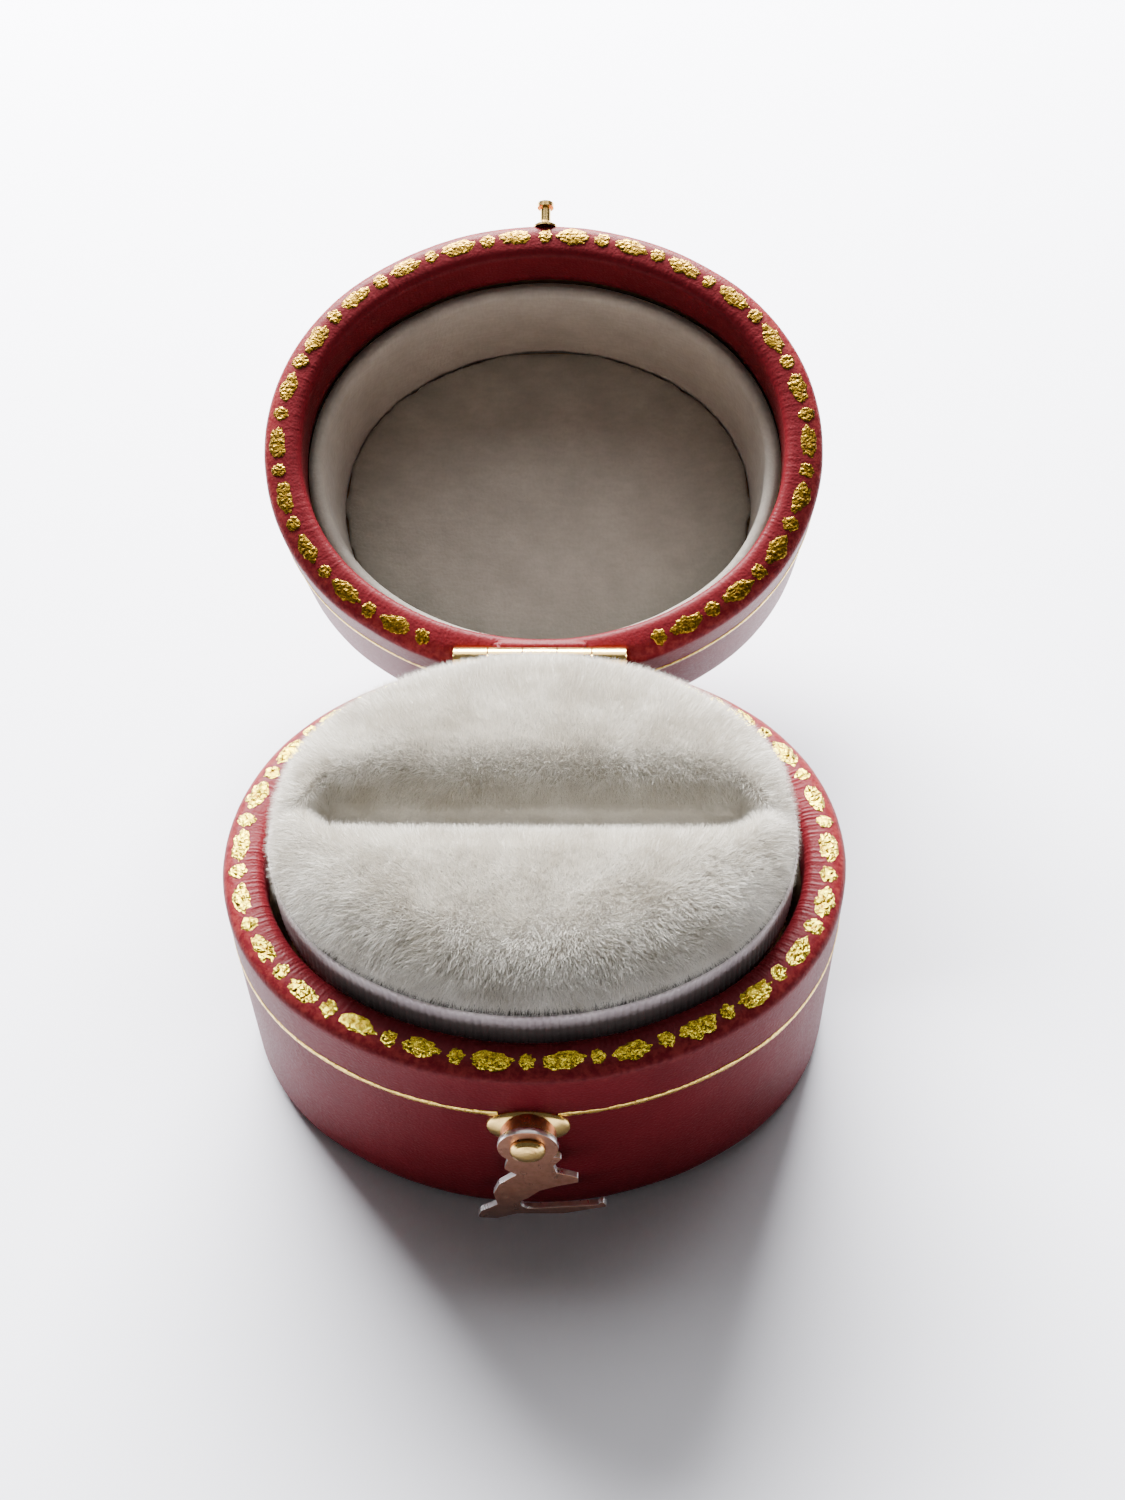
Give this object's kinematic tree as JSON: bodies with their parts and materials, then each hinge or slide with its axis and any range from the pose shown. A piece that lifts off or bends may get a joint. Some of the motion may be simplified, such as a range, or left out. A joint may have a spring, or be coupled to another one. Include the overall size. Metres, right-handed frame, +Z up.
{
  "type": "ring box",
  "caption": "Small oval leather ring box with a hinged lid, a gilt-dabbed rim, a slotted velvet insert and a swing-hook clasp on the front.",
  "frame": {"origin": "centre of the underside of the base, on the surface it stands on", "axes": "+Z up, the clasp faces -Y, the hinge is at the back on +Y, +X to the right seen from the front; the lid is stored open"},
  "size_m": [0.04, 0.0712, 0.0323],
  "materials": {
    "leather": "satin",
    "underside": "matte",
    "gilt": "gloss",
    "gilt_line": "satin",
    "wood": "matte",
    "card": "matte",
    "velvet": "matte",
    "ribbon": "satin",
    "lining": "satin",
    "brass": "polished",
    "copper": "satin",
    "hook": "satin"
  },
  "bodies": {
    "base": {"base_floor": "wood", "base_core": "wood", "base_leather": "leather", "base_rim_dabs": "gilt", "base_gilt_line": "gilt_line", "base_pad": "underside", "insert_block_front": "wood", "insert_block_rear": "wood", "slot_spacer": "wood", "insert_card": "card", "insert_ribbon": "ribbon", "velvet_roll_front": "velvet", "velvet_roll_rear": "velvet", "clasp_escutcheon": "brass", "clasp_barrel": "copper", "clasp_rivet": "brass", "hinge_base_leaf": "brass", "hinge_pin": "brass"},
    "lid": {"hinge_lid_leaf": "brass", "lid_core": "wood", "lid_top_board": "wood", "lid_leather": "leather", "lid_rim_dabs": "gilt", "lid_gilt_line": "gilt_line", "lid_lining_card": "card", "lid_side_lining": "lining", "lid_top_pad": "lining", "lid_stud": "brass", "lid_stud_washer": "brass"},
    "hook": {"clasp_hook": "hook"}
  },
  "joints": [
    {"name": "lid_hinge", "type": "hinge", "parent": "base", "child": "lid", "pos_m": [0, 0.0162, 0.0167], "axis": [1, 0, 0], "range_deg": [0, 153]},
    {"name": "hook_swing", "type": "hinge", "parent": "base", "child": "hook", "pos_m": [0, -0.0183, 0.0109], "axis": [0, -1, 0], "range_deg": [-90, 180]}
  ]
}
